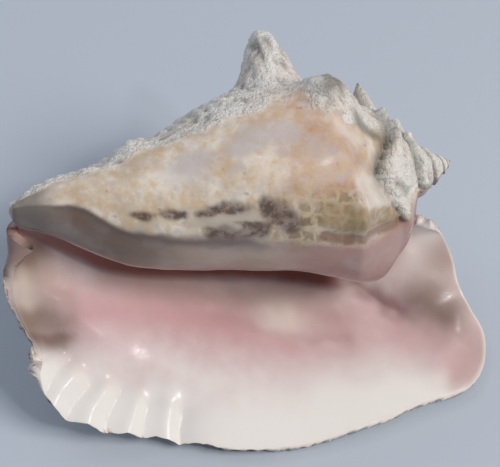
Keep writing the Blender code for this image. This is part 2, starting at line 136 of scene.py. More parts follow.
# lines drawn on the lip, as (d, x): the same, first its pleats
lipStrokes = (
    (-4.0, 3.0, 1, ((211, 67), (205, 64), (199, 62))),
    (-4.4, 5.0, 1, ((212, 85), (206, 76), (201, 71), (195, 68))),
    (-5.2, 6.0, 1, ((204, 98), (198, 89), (193, 85), (188, 81))),
    (-5.2, 6.0, 1, ((186, 107), (183, 98), (179, 92), (174, 86))),
    (-4.8, 6.0, 1, ((169, 113), (166, 103), (163, 96))),
    (-4.2, 6.0, 1, ((151, 119), (150, 109), (147, 102))),
    (1.2, 4.0, 2, ((210, 76), (207, 71))),
    (2.4, 5.0, 2, ((205, 90), (201, 84), (195, 79))),
    (2.6, 5.5, 2, ((192, 102), (188, 94), (181, 87))),
    (2.4, 5.0, 2, ((174, 109), (169, 101), (166, 95))),
    (2.0, 5.0, 2, ((158, 113), (156, 104), (153, 97))),
    (1.2, 6.0, 2, ((193, 46), (188, 54), (180, 62))),
    (1.6, 4.0, 2, ((214, 34), (206, 38), (198, 44))),
    (-1.0, 3.4, 2, ((121, 60), (110, 65), (102, 69), (97, 74), (88, 78),
                    (79, 82), (62, 85))),
    (-3.0, 3.6, 1, ((46, 56), (39, 63), (34, 68), (29, 71))),
    (2.0, 5.0, 2, ((41, 55), (32, 52), (24, 45))),
    (1.4, 6.0, 2, ((2, 78), (8, 92), (22, 102))),
)
meshSteps = {
    "bodyAround": 248, "bodyAlong": 164, "lipAlong": 266, "lipAcross": 80,
    # the lip's columns stand closer together at the pleats, its rows at the margin
    "lipSteps": ((0, 0.35, 0.8, 1), (0, 0.45, 0.8, 1)), "rimPower": 1.2,
    "spireShare": 0.36, "spireEnd": 50.0, "firstRing": 1.0,
    # what is merged after the two skins are joined, and how far a point may lie from its old one
    "mergeGap": 0.02, "sliverGap": 0.005, "sameGap": 0.02,
    # the seam on the back is worn smooth: how far below it starts, rings of points and passes
    "seamFrom": -16.0, "seamTo": -14.0, "seamRings": 5, "seamPasses": 14,
}
restTurns = (80.0, 39.6, -79.6)                     # lays the shell on its lip and a spine


def curve(at, stops, values):
    # smooth curve through the values, without overshoot
    stops = np.asarray(stops, float)
    values = np.asarray(values, float)
    steps = np.diff(values) / np.diff(stops)
    slopes = np.zeros(len(stops))
    slopes[1:-1] = np.where(steps[1:] * steps[:-1] > 0, (steps[1:] + steps[:-1]) / 2, 0.0)
    slopes[0], slopes[-1] = steps[0], steps[-1]
    limit = 3 * np.minimum(np.abs(np.append(steps, steps[-1])), np.abs(np.insert(steps, 0, steps[0])))
    slopes = np.clip(slopes, -limit, limit)
    at = np.clip(np.asarray(at, float), stops[0], stops[-1])
    i = np.clip(np.searchsorted(stops, at) - 1, 0, len(stops) - 2)
    gap = stops[i + 1] - stops[i]
    t = (at - stops[i]) / gap
    rise = t * t * (3 - 2 * t)
    return (values[i] * (1 - rise) + values[i + 1] * rise
            + gap * slopes[i] * t * (1 - t) ** 2 - gap * slopes[i + 1] * t * t * (1 - t))


def ease(value, start, full):
    # 0 at start, 1 at full, smooth between
    t = np.clip((np.asarray(value, float) - start) / (full - start), 0, 1)
    return t * t * (3 - 2 * t)


def around(value, middle, width):
    # 1 at the middle, falling off smoothly
    return np.exp2(-((np.asarray(value, float) - middle) / width) ** 2)


def shoulder(angle):
    turn = (np.asarray(angle, float) - 180.0) / 360.0
    return (np.exp(curve(turn, whorls["turns"], np.log(whorls["shoulderD"]))),
            np.exp(curve(turn, whorls["turns"], np.log(whorls["shoulderR"]))))


def suture(angle):
    # where the whorl after this growth angle is joined on
    sag, place, width = whorls["sutureSag"]
    return shoulder(angle)[0] * (whorls["sutureDrop"] + sag * around(angle, place, width))


def rampRadius(d, angle):
    lowR = shoulder(np.asarray(angle, float) - 360.0)[1]
    highD = shoulder(angle)[0]
    highR = sideRadius(highD, angle)
    start = suture(np.asarray(angle, float) - 360.0)
    rise = np.clip((d - start) / (highD - start), 0, 1)
    return lowR + (highR - lowR) * rise ** whorls["rampPower"]


def spireRadius(d, angle):
    # a whorl of the spire: out to its shoulder, then down to the next suture
    above = suture(np.asarray(angle, float) - 360.0)
    below = suture(angle)
    lowR = shoulder(np.asarray(angle, float) - 360.0)[1]
    highR = shoulder(angle)[1]
    rise = (d - above) / (below - above)
    step = np.clip(rise / whorls["stepShare"], 0, 1) ** whorls["stepPower"]
    waist = whorls["stepWaist"] * np.clip((rise - whorls["stepShare"]) / (1 - whorls["stepShare"]), 0, 1)
    radius = (lowR + (highR - lowR) * step) * (1 - waist)
    return np.where((d < above) | (d > below + 0.5), 0.0, radius)


def sideRadius(d, angle):
    start = shoulder(angle)[0]
    share = (d - start) / (whorls["length"] - start)
    rows = whorls["sideRadii"]
    steps = np.linspace(0, 1, len(rows[0]))
    radii = np.stack([curve(share, steps, row) for row in rows])
    turn = np.clip(angle, whorls["sideAngles"][0], whorls["sideAngles"][-1]) / 90.0
    i = np.clip(np.floor(turn).astype(int), 0, len(rows) - 2)
    t = ease(turn - i, 0, 1)
    low = np.take_along_axis(radii, i[None], 0)[0]
    high = np.take_along_axis(radii, i[None] + 1, 0)[0]
    return low + (high - low) * t


def whorlRadius(d, angle):
    whole = np.where(d < shoulder(angle)[0], rampRadius(d, angle), sideRadius(d, angle))
    return np.where(d < suture(angle - 360.0), 0.0, whole)


def spineHeight(d, angle):
    height = np.zeros(d.shape)
    for at, distance, tall, radius in spines["list"]:
        across = np.radians(angle - at) * shoulder(at)[1]
        reach = ((d - distance) ** 2 + across ** 2) / radius ** 2
        height = np.maximum(height, tall * np.exp2(-reach ** spines["falloff"]))
    return height


def seamShare(d, growth):
    # 1 along the sutures between the whorls
    seam = np.zeros(d.shape)
    for turn in range(1, len(whorls["turns"]) - 2):
        seam = np.maximum(seam, around(d / suture(growth - 360.0 * turn), 1.0, whorls["seamWidth"]))
    return seam


def strokeGap(places, line):
    # distance of each place from a line drawn through points
    best = np.full(places.shape[:-1], 1e6)
    for a, b in zip(np.array(line[:-1], float), np.array(line[1:], float)):
        t = np.clip((places - a) @ (b - a) / ((b - a) @ (b - a)), 0, 1)
        best = np.minimum(best, np.linalg.norm(places - a - t[..., None] * (b - a), axis=-1))
    return best


def bodyPlaces(d, phi):
    # points of the spire, last whorl, inner lip and pillar
    growth = np.where(phi < innerLip["edgeAngle"], phi + 360.0, phi)
    spire = np.zeros(d.shape)
    raised = spineHeight(d, growth)
    for turn in range(1, len(whorls["turns"]) - 2):
        spire = np.maximum(spire, spireRadius(d, growth - 360.0 * turn))
        raised = np.maximum(raised, spineHeight(d, growth - 360.0 * turn))
    outer = np.maximum(spire, whorlRadius(d, growth)) + spines["share"] * raised
    outer = outer * (1 - whorls["seamDepth"] * seamShare(d, growth))
    edge = curve(d, *zip(*innerLip["edge"]))
    swell = ease(phi, innerLip["swellFrom"], innerLip["swellFull"]) ** innerLip["swellPower"]
    swell = swell * (phi >= innerLip["edgeAngle"])
    shell = outer + (np.maximum(edge, outer) - outer) * swell
    pillar = curve(d, *zip(*innerLip["pillar"]))
    spire = spire + spines["share"] * raised * (spire > 0)
    inside = spire + (pillar - spire) * ease(d, innerLip["throatFrom"], innerLip["throatFull"])
    under = ease(phi, innerLip["edgeAngle"], innerLip["underAngle"])
    cut = np.where(phi < innerLip["edgeAngle"], edge + (inside - edge) * under, shell)
    back = ease(phi, innerLip["throatFront"], innerLip["throatBack"])
    radius = np.where(phi < innerLip["throatFront"], inside + (outer - inside) * back, cut)
    knobD, knobAngle, knobHeight, knobRadius = spines["knob"]
    knob = np.hypot(d - knobD, np.radians(phi - knobAngle) * radius) / knobRadius
    radius = radius + knobHeight * np.exp2(-knob ** 2)
    front = ease(phi, innerLip["edgeAngle"], innerLip["edgeAngle"] + 2)
    for height, width, power, line in bodyStrokes:
        gap = strokeGap(np.stack([d, np.radians(phi) * strokeRadius, 0 * d], -1),
                        [(a, np.radians(b) * strokeRadius, 0.0) for a, b in line])
        radius = radius + height * np.exp2(-(gap / width) ** power) * front
    bend, bendD, bendWidth = whorls["spireBend"]
    lean = bend * around(d, bendD, bendWidth) * np.minimum(radius, 1)
    return np.stack([radius * np.cos(np.radians(phi)) + lean, radius * np.sin(np.radians(phi)), d], -1)


def marginPlaces(share):
    margin = np.array(lip["margin"], float)
    stops = np.insert(np.cumsum(np.linalg.norm(np.diff(margin, axis=0), axis=1)), 0, 0.0)
    stops = stops / stops[-1]
    return np.stack([curve(share, stops, margin[:, k]) for k in range(3)], -1), stops


def shareOf(point, stops):
    # share of the margin's length nearest to a place
    gaps = np.linalg.norm(np.array(lip["margin"], float) - np.array(point, float), axis=1)
    best = int(np.argmin(gaps))
    ahead = min(best + 1, len(gaps) - 1)
    behind = max(best - 1, 0)
    other = ahead if gaps[ahead] < gaps[behind] else behind
    if other == best:
        other = behind if best == ahead else ahead
    weight = gaps[best] / max(gaps[best] + gaps[other], 1e-9)
    return stops[best] * (1 - weight) + stops[other] * weight


def lipPlaces(share, across):
    # across is 0 at the margin and 1 at the back of the throat
    edge, stops = marginPlaces(share)
    rows = lip["rows"]
    rowShares = [shareOf(row[0], stops) for row in rows]
    rowShares[0], rowShares[-1] = 0.0, 1.0
    guides = [edge]
    for k in range(1, len(rows[0])):
        inner = np.array([row[k] for row in rows], float)
        guides.append(np.stack([curve(share, rowShares, inner[:, i]) for i in range(3)], -1))
    guides = np.stack(guides, 0)
    last = len(guides) - 1
    i = np.clip(np.floor(across * last).astype(int), 0, last - 1)
    t = (across * last - i)[..., None]
    columns = np.arange(guides.shape[1])
    before = guides[np.maximum(i - 1, 0), columns]
    start = guides[i, columns]
    end = guides[i + 1, columns]
    after = guides[np.minimum(i + 2, last), columns]
    place = 0.5 * (2 * start + (end - before) * t + (2 * before - 5 * start + 4 * end - after) * t ** 2
                   + (3 * start - 3 * end + after - before) * t ** 3)
    return place                                    # as (d, x, v)


def lipLift(place):
    # height of the swelling, folds and pleats over the plain lip
    centre, tall, widths = lip["swelling"]
    near = ((place[..., 0] - centre[0]) / widths[0]) ** 2 + ((place[..., 1] - centre[1]) / widths[1]) ** 2
    lift = tall * np.exp2(-near)
    for height, width, power, line in lipStrokes:
        lift = lift + height * np.exp2(-(strokeGap(place[..., :2], line) / width) ** power)
    return lift


def makeBody():
    # a sphere whose rings are moved along the axis, closer together towards the apex
    bm = bmesh.new()
    bmesh.ops.create_uvsphere(bm, u_segments=meshSteps["bodyAround"], v_segments=meshSteps["bodyAlong"],
                              radius=1.0)
    split, spireEnd, first = meshSteps["spireShare"], meshSteps["spireEnd"], meshSteps["firstRing"]
    steps = np.linspace(0, 1, meshSteps["bodyAlong"] + 1)
    rings = np.where(steps < split, first * (spireEnd / first) ** (steps / split),
                     spireEnd + (whorls["length"] - spireEnd) * (steps - split) / (1 - split))
    rings[0], rings[-1] = 0.0, whorls["length"]
    places = np.array([vert.co for vert in bm.verts])
    polar = np.arccos(np.clip(places[:, 2], -1, 1)) / np.pi
    d = rings[np.round(polar * meshSteps["bodyAlong"]).astype(int)]
    turn = (np.degrees(np.arctan2(places[:, 1], places[:, 0])) / 360.0) % 1.0
    skin = bodyPlaces(d, innerLip["throatBack"] + 360.0 * turn)
    skin[(d == 0) | (d == whorls["length"]), :2] = 0.0
    for vert, place in zip(bm.verts, skin):
        vert.co = Vector(place) * mm
    bmesh.ops.recalc_face_normals(bm, faces=bm.faces)
    mesh = bpy.data.meshes.new("bodySkin")
    bm.to_mesh(mesh)
    bm.free()
    return mesh


def makeLip():
    # a grid drawn over the guides, thickened on its under side
    bm = bmesh.new()
    bmesh.ops.create_grid(bm, x_segments=meshSteps["lipAlong"], y_segments=meshSteps["lipAcross"], size=0.5)
    shares = curve([vert.co.x + 0.5 for vert in bm.verts], *meshSteps["lipSteps"])
    across = np.array([vert.co.y + 0.5 for vert in bm.verts]).clip(0, 1) ** meshSteps["rimPower"]
    plain = lipPlaces(shares, across)
    for vert, (d, x, v) in zip(bm.verts, plain):
        vert.co = Vector((x, v, d)) * mm
    count = len(bm.verts)
    bmesh.ops.recalc_face_normals(bm, faces=bm.faces)
    bm.normal_update()
    toward = sum(face.normal.y * face.calc_area() for face in bm.faces)
    if toward < 0:
        bmesh.ops.reverse_faces(bm, faces=bm.faces)
    bmesh.ops.solidify(bm, geom=bm.faces, thickness=lip["thickness"] * mm)
    bm.verts.index_update()
    footD, footX, footV = spines["lipFoot"]
    tipD, tipX, tipV = spines["lipTip"]
    foot = Vector((footX, footV, footD)) * mm
    rise = Vector((tipX, tipV, tipD)) * mm - foot
    sinkX, sinkV = lip["strokeSink"]
    lifts = lipLift(plain)
    for vert in bm.verts:
        lift = lifts[vert.index % count]
        if vert.index >= count:
            reach = (vert.co - foot).length / (spines["lipRadius"] * mm)
            vert.co += rise * 2.0 ** -(reach ** 2)
            lift *= lip["underShare"]
        vert.co += Vector((sinkX, sinkV, 0.0)) * lift * mm
    bmesh.ops.recalc_face_normals(bm, faces=bm.faces)
    mesh = bpy.data.meshes.new("lipSkin")
    bm.to_mesh(mesh)
    bm.free()
    return mesh, count, shares, across


def meshPlaces(mesh):
    places = np.empty(len(mesh.vertices) * 3)
    mesh.vertices.foreach_get("co", places)
    return places.reshape(-1, 3)


def joinSkins():
    # one closed surface of body and lip, with what each point belongs to
    bodyMesh = makeBody()
    lipMesh, upperCount, shares, across = makeLip()
    body = bpy.data.objects.new("shell", bodyMesh)
    flare = bpy.data.objects.new("flare", lipMesh)
    bpy.context.scene.collection.objects.link(body)
    bpy.context.scene.collection.objects.link(flare)
    union = body.modifiers.new("flare", "BOOLEAN")
    union.operation = "UNION"
    union.solver = "EXACT"
    union.object = flare
    bpy.context.view_layer.update()
    joined = bpy.data.meshes.new_from_object(body.evaluated_get(bpy.context.evaluated_depsgraph_get()))
    # the cut leaves slivers where the two skins cross
    bm = bmesh.new()
    bm.from_mesh(joined)
    bmesh.ops.remove_doubles(bm, verts=bm.verts, dist=meshSteps["mergeGap"] * mm)
    bmesh.ops.dissolve_degenerate(bm, edges=bm.edges, dist=meshSteps["sliverGap"] * mm)
    bmesh.ops.triangulate(bm, faces=[face for face in bm.faces if len(face.verts) > 4])
    bm.to_mesh(joined)
    bm.free()
    bodyPoints = meshPlaces(bodyMesh)
    lipPoints = meshPlaces(lipMesh)
    tree = kdtree.KDTree(len(bodyPoints) + len(lipPoints))
    for i, place in enumerate(np.concatenate([bodyPoints, lipPoints])):
        tree.insert(place, i)
    tree.balance()
    places = meshPlaces(joined)
    found = [tree.find(place) for place in places]
    index = np.array([item[1] for item in found])
    isNew = np.array([item[2] for item in found]) > meshSteps["sameGap"] * mm
    lipIndex = index - len(bodyPoints)
    side = np.where(lipIndex < 0, 0, np.where(lipIndex < upperCount, 1, 2))
    source = np.where(side == 0, 0, lipIndex % upperCount)
    lipShare = np.where(side == 0, 0.0, shares[source])
    lipAcross = np.where(side == 0, 0.0, across[source])
    bpy.data.objects.remove(body)
    bpy.data.objects.remove(flare)
    return joined, side, lipShare, lipAcross, isNew


def noiseAt(places, size, seed):
    # smooth noise from about -1 to 1, with lumps of the given size
    offset = Vector((seed * 17.3, seed * 5.9, seed * 11.1))
    return np.array([noise.noise(Vector(place) / size + offset) for place in places])


def pitsAt(places, size, seed):
    # 0 in the middle of each small pit, 1 between them
    offset = Vector((seed * 3.7, seed * 13.1, seed * 7.7))
    return np.array([noise.voronoi(Vector(place) / size + offset)[0][0] for place in places])


relief = {
    # heights
    "chalkLump": 0.8, "chalkGrain": 0.5, "chalkFine": 0.3, "furrow": 0.35, "pitDepth": 0.4, "ridge": 0.9,
    "glazeLump": 0.5, "glazeFine": 0.10,
    # sizes of what is raised
    "lumpSize": 9.0, "grainSize": 3.6, "fineSize": 1.9, "furrowSize": 2.6, "pitSize": 3.0,
    "ridgeSize": (7.0, 7.0, 4.0), "ridgeOffset": (3.1, 7.9, 1.3), "glazeSize": 16.0,
    "ridgeNoise": (1.0, 2.1, 3, 1.0, 2.0),          # roughness, lacunarity, octaves, offset, gain
    "furrowStretch": (0.35, 0.35, 1.0), "pitEdge": (0.34, 0.12), "apexShare": 0.25, "apexFade": (3, 30),
    "cordHeight": 0.45, "cordSpacing": 5.5, "cordWander": 0.8,
    "cordBack": (150, 185), "cordFrom": (60, 90), "cordRim": (0.02, 0.2),
    "ledgeHeight": 0.8, "ledgeSpacing": 3.6, "ledgeReach": 20.0,
    "lipWidth": 130.0, "ledgeWander": (1.6, 0.8),
    "edgeChip": 0.9, "chipSizes": (5.0, 2.2), "chipShare": 0.6, "chipReach": 0.05,
    "chipInward": (-0.75, -0.2, 0.0),
    # where the relief's hollows start to get painted shade and its crests painted highlight, and how much
    # painted shade the sutures get
    "hollowFrom": (-0.1, -1.1), "litCrestFrom": (0.2, 1.3), "seamShade": 1.2,
}


# bands of colour, as (d, x) on the lip and (d, angle) on the body: strength, half-width, points
lipMarks = {
    "blush": ((0.9, 9, ((186, 50), (176, 51), (155, 55), (136, 61), (113, 69), (90, 78))),
              (0.55, 9, ((203, 36), (192, 46), (182, 56))),
              (0.7, 11, ((34, 82), (22, 88), (12, 97))),
              (0.5, 12, ((90, 80), (60, 80), (40, 78)))),
    "greige": ((0.9, 9, ((172, 36), (150, 46), (128, 53), (108, 60))),
               (0.9, 10, ((110, 56), (90, 62), (74, 66), (63, 71))),
               (1.0, 13, ((6, 50), (9, 62), (10, 78))), (0.8, 8, ((2, 86), (-2, 94), (10, 104)))),
    # brown of the lip, with painted shade in its notches
    "brownAndShade": ((1.0, 5.5, ((213, 57), (204, 60), (199, 61))), (0.8, 8, ((214, 48), (206, 51), (200, 54))),
              (0.8, 8, ((20, 68), (14, 70), (8, 75))), (1.0, 8, ((211, 22), (206, 17)))),
    "olive": ((0.9, 8, ((214, 24), (211, 36), (213, 50))), (0.5, 12, ((204, 30), (208, 44)))),
    # deeper pink along the lip's creases, partly the enamel's own and partly painted shade in them
    "creaseTintAndShade": ((1.0, 3.6, ((46, 56), (39, 63), (34, 68), (30, 71))),
             (0.35, 2.6, ((104, 70), (92, 75), (78, 79), (58, 81)))),
    # paler enamel, with painted highlight on the swelling's dome and along the wing's join to the body
    "paleAndLit": ((0.9, 8, ((94, 66), (88, 67))), (0.7, 5, ((40, 54), (32, 48), (26, 38))),
             (0.6, 5, ((214, 33), (212, 40)))),
}
bodyMarks = {
    "paleAndLit": ((1.0, 4.5, ((64, 82), (56, 76), (50, 70))),
             (1.0, 2.0, ((64, 71), (56, 66), (45, 59), (39, 51))),
             (1.0, 1.8, ((39, 51), (37, 44), (36, 38))),
             (0.7, 5, ((64, 112), (72, 118))), (0.5, 4, ((152, 106), (146, 101)))),
    # grey-green grime with painted shade: in the hollows under the shoulder band and beside the spines
    "grimeAndShade": ((0.6, 4.0, ((60, 128), (52, 122), (44, 118))), (0.5, 3.0, ((39, 70), (36, 60))),
              (0.6, 5, ((75, 140), (68, 145))), (0.5, 4, ((20, 48), (10, 28)))),
    "shade": ((0.9, 2.0, ((84, 50), (66, 45), (52, 41), (42, 36), (37, 33))),),
    "band": ((1.0, 5.0, ((82, 64), (66, 60), (56, 56), (48, 51), (42, 46), (37, 41))),),
    "lilac": ((0.8, 8, ((146, 108), (138, 112))), (0.7, 6, ((120, 116), (108, 120), (96, 118))),
              (0.5, 5, ((88, 108), (80, 104)))),
    "mauve": ((0.9, 3.6, ((138, 70), (130, 73), (120, 72))), (1.0, 4.0, ((134, 56), (124, 56), (112, 59))),
              (0.9, 4.6, ((110, 72), (104, 67), (100, 62))), (0.8, 3.0, ((166, 72), (161, 69))),
              (0.8, 2.6, ((154, 72), (147, 71)))),
    "streak": ((1.0, 2.0, ((146, 63), (132, 64), (122, 67), (116, 68))), (0.8, 1.4, ((128, 64), (122, 58))),
               (0.7, 1.4, ((148, 76), (139, 75)))),
}
callus = {
    # the angle where the callus ends, by distance; farther on it turns dark
    "ends": ((36, 50, 70, 85, 100, 120, 150, 165, 171, 177, 181, 189, 200, 218),
             (34, 36, 42, 44, 46, 50, 50, 50, 53, 58, 67, 84, 93, 112)),
    "dark": (138, 172), "rosy": (112, 78), "fade": (5, -4), "border": (-4.0, 5.0),
    "borderFrom": (100, 122), "borderTo": (206, 188),
}
# where each finish begins and is full, as distances or angles
zones = {
    "noiseSizes": (22.0, 7.0, 3.0),
    "spireGap": (3, -2), "spireAngle": (34, 50), "leftAngle": (128, 162), "spineRise": (2.0, 8.0),
    "bigSpine": (62, 18), "bigSpineAngle": (118, 134), "caveFrom": 33,
    "sutureGap": (10, 1), "sutureAngles": ((48, 74), (136, 120)), "sutureShare": 0.95,
    "squareAngles": ((90, 68), (34, 42)), "squareD": ((120, 100), (54, 70)),
    "orangeD": ((125, 78), (52, 72)), "orangeAngle": (66, 82), "canal": (196, 210),
    "rimAngle": 3.0, "rimFrom": (30, 36), "notchD": 203, "notchX": 30, "notchV": -17, "canalWall": 196,
    # how far the painted shade under the inner lip reaches from its edge, and where along the shell it
    # starts
    "shadeUnderLipX": (6.5, 2), "shadeUnderLipD": (48, 60), "bareD": (194, 206), "bareX": (68, 58), "bareShare": 0.8,
    "creamAcross": (0.33, 0.10), "creamD": (-4, 18), "marginAcross": (0.03, 0.0), "markFade": (0.15, 0.75),
}


def markField(d, other, marks, scale=1.0):
    places = np.stack([d, other * scale], -1)
    field = np.zeros(len(d))
    for strength, width, line in marks:
        gap = strokeGap(places, [(a, b * scale) for a, b in line])
        field = np.maximum(field, strength * np.exp2(-(gap / width) ** 2))
    return field


def shellFields(places, side, across):
    # where each finish lies, from 0 to 1, at every point
    x, v, d = places.T
    phi = np.degrees(np.arctan2(v, x))
    phi = np.where(phi < innerLip["throatBack"], phi + 360.0, phi)
    body = side == 0
    upper = side == 1
    drift, wobble, ragged = (noiseAt(places, size, 1 + k) for k, size in enumerate(zones["noiseSizes"]))
    jitter = 3.0 * wobble + 1.2 * ragged
    raised = spineHeight(d, phi)
    for turn in range(1, len(whorls["turns"]) - 2):
        raised = np.maximum(raised, spineHeight(d, phi - 360.0 * turn))
    joined = suture(phi - 360.0)
    # chalk on the spire, the spines, the shell's left edge and the lip's under side
    onSpire = ease(d - joined, *zones["spireGap"]) * ease(phi, *zones["spireAngle"])
    leftEdge = ease(phi + 12 * drift + 8 * wobble, *zones["leftAngle"])
    onSpines = ease(raised + 2 * wobble, *zones["spineRise"])
    bySpine = around(d, *zones["bigSpine"]) * ease(phi + 8 * wobble, *zones["bigSpineAngle"])
    chalk = np.clip(np.maximum.reduce([onSpire, leftEdge, onSpines, bySpine]), 0, 1) * body
    # the aperture's walls behind the inner lip; their red-brown is partly darker enamel and partly painted
    # shade
    cave = body & (phi < innerLip["edgeAngle"] - 1.0) & (d > zones["caveFrom"])
    chalk = np.where(body & (phi < innerLip["edgeAngle"]) & (d <= zones["caveFrom"]), 1.0, chalk)
    chalk = np.where(cave, 0.0, chalk)
    notch = (side == 2) & (d > zones["notchD"]) & (x < zones["notchX"]) & (v > zones["notchV"])
    chalk = np.where(side == 2, 1.0, chalk) * ~notch
    pastEnd = phi - curve(d, *callus["ends"]) + jitter
    onCallus = ease(pastEnd, *callus["fade"]) * body
    border = around(pastEnd, *callus["border"]) * body
    squareAngle, squareStart = zones["squareAngles"]
    squareEnd, squareFrom = zones["squareD"]
    orangeEnd, orangeFrom = zones["orangeD"]
    fields = {
        "chalk": chalk,
        "callus": onCallus,
        "callusDark": onCallus * ease(d + 6 * drift, *callus["dark"]),
        "callusRosy": onCallus * ease(d, *callus["rosy"]),
        "callusEdge": border * ease(d + 5 * drift, *callus["borderFrom"]) * ease(d, *callus["borderTo"]),
        "squares": (body * ease(phi + jitter, *squareAngle) * ease(phi, *squareStart)
                    * ease(d + jitter, *squareEnd) * ease(d, *squareFrom)),
        "orange": (body * ease(d + 14 * drift, *orangeEnd) * ease(phi, *zones["orangeAngle"])
                   * ease(d + 5 * drift, *orangeFrom)),
        "canal": body * ease(d + 4 * wobble, *zones["canal"]),
        # a paler line along the inner lip's edge, partly its pale rim and partly painted highlight
        "edgeRimLight": (body * around(phi, innerLip["edgeAngle"] + zones["rimAngle"], zones["rimAngle"])
                    * ease(d, *zones["rimFrom"])),
        "cave": cave.astype(float),
        "notch": notch.astype(float),
    }
    turned = strokeRadius * pi / 180
    for name, marks in bodyMarks.items():
        field = markField(d + 0.6 * jitter, phi + jitter, marks, turned)
        fields[name] = ease(field + 0.05 * ragged, *zones["markFade"]) * body
    for name, marks in lipMarks.items():
        field = markField(d + 2 * wobble, x + 2.5 * wobble, marks) * upper
        fields[name] = np.maximum(fields.get(name, 0.0), field)
    # painted shade, with its grime, in the hollow just past the last suture
    after, before = zones["sutureAngles"]
    sutureShade = (ease(d - joined, *zones["sutureGap"]) * (d > joined - 1)
                * ease(phi, *after) * ease(phi, *before))
    fields["grimeAndShade"] = np.maximum(fields["grimeAndShade"], zones["sutureShare"] * sutureShade)
    # the notch and the canal's inner walls are painted brown as their shade
    canalWall = cave & (d > zones["canalWall"])
    fields["brownAndShade"] = np.maximum(fields["brownAndShade"], 0.9 * (notch | canalWall))
    edge = curve(d, *zip(*innerLip["edge"]))
    # a red-brown band of painted shade on the lip just under the inner lip's edge, partly the darker enamel
    # deep inside
    fields["shadeUnderLip"] = ease(x - edge + 0.8 * wobble, *zones["shadeUnderLipX"]) * upper * ease(d, *zones["shadeUnderLipD"])
    bare = 1 - zones["bareShare"] * ease(d, *zones["bareD"]) * ease(x, *zones["bareX"])
    creamy = ease(across + 0.05 * drift + 0.03 * wobble, *zones["creamAcross"])
    fields["cream"] = creamy * upper * ease(d, *zones["creamD"]) * bare
    fields["rim"] = ease(across, *zones["marginAcross"]) * upper * bare
    return fields, phi


def shellRelief(places, side, share, across, fields, phi):
    # heights of the fine relief along the normal, in millimetres
    d = places[:, 2]
    chalk = fields["chalk"]
    lump = noiseAt(places, relief["lumpSize"], 4)
    grain = noiseAt(places, relief["grainSize"], 5)
    fine = noiseAt(places, relief["fineSize"], 6)
    pits = pitsAt(places, relief["pitSize"], 7)
    furrows = noiseAt(places * np.array(relief["furrowStretch"]), relief["furrowSize"], 8)
    height = chalk * (relief["chalkLump"] * lump + relief["chalkGrain"] * grain
                      + relief["chalkFine"] * fine + relief["furrow"] * furrows)
    height = height - chalk * relief["pitDepth"] * ease(pits, *relief["pitEdge"])
    offset = Vector(relief["ridgeOffset"])
    ridges = np.array([noise.ridged_multi_fractal(Vector(place) + offset, *relief["ridgeNoise"])
                       for place in places / np.array(relief["ridgeSize"])]) * (chalk > 0.01)
    height = height + chalk * relief["ridge"] * (ridges - 1.0)
    small = ease(d, *relief["apexFade"])            # less on the smallest whorls
    height = height * (relief["apexShare"] + (1 - relief["apexShare"]) * small)
    smooth = (side == 0) * (1 - chalk)
    glaze = noiseAt(places, relief["glazeSize"], 9)
    height = height + smooth * (relief["glazeLump"] * glaze + relief["glazeFine"] * grain)
    # cords on the back and on the lip's under side
    wander = relief["cordWander"] * lump
    back = ease(phi, *relief["cordBack"]) * (side == 0)
    cords = np.sin(2 * pi * d / relief["cordSpacing"] + wander)
    height = height + relief["cordHeight"] * cords * back * ease(d, *relief["cordFrom"])
    under = side == 2
    cords = np.sin(2 * pi * share * lip["marginLength"] / relief["cordSpacing"] + wander)
    height = height + relief["cordHeight"] * cords * under * ease(across, *relief["cordRim"])
    # growth ledges near the margin, on the under side
    lumpWander, grainWander = relief["ledgeWander"]
    inset = across * relief["lipWidth"] + lumpWander * lump + grainWander * grain
    ledge = (inset / relief["ledgeSpacing"]) % 1.0
    reach = ease(inset, relief["ledgeReach"], 0.0)
    height = height - relief["ledgeHeight"] * (1 - ledge) * under * reach
    return np.where(side == 1, 0.0, height) * (fields["cave"] + fields["notch"] < 0.5)


def smoothSeam(mesh, isNew, places):
    # the outer wall runs on into the lip, so the seam on the back is worn smooth
    bm = bmesh.new()
    bm.from_mesh(mesh)
    bm.verts.ensure_lookup_table()
    near = {bm.verts[i] for i in np.flatnonzero(isNew & (places[:, 1] < meshSteps["seamFrom"]))}
    for _ in range(meshSteps["seamRings"]):
        near |= {edge.other_vert(vert) for vert in near for edge in vert.link_edges}
    chosen = [vert for vert in near if vert.co.y < meshSteps["seamTo"] * mm]
    for _ in range(meshSteps["seamPasses"]):
        bmesh.ops.smooth_vert(bm, verts=chosen, factor=0.5,
                              use_axis_x=True, use_axis_y=True, use_axis_z=True)
    bm.to_mesh(mesh)
    bm.free()


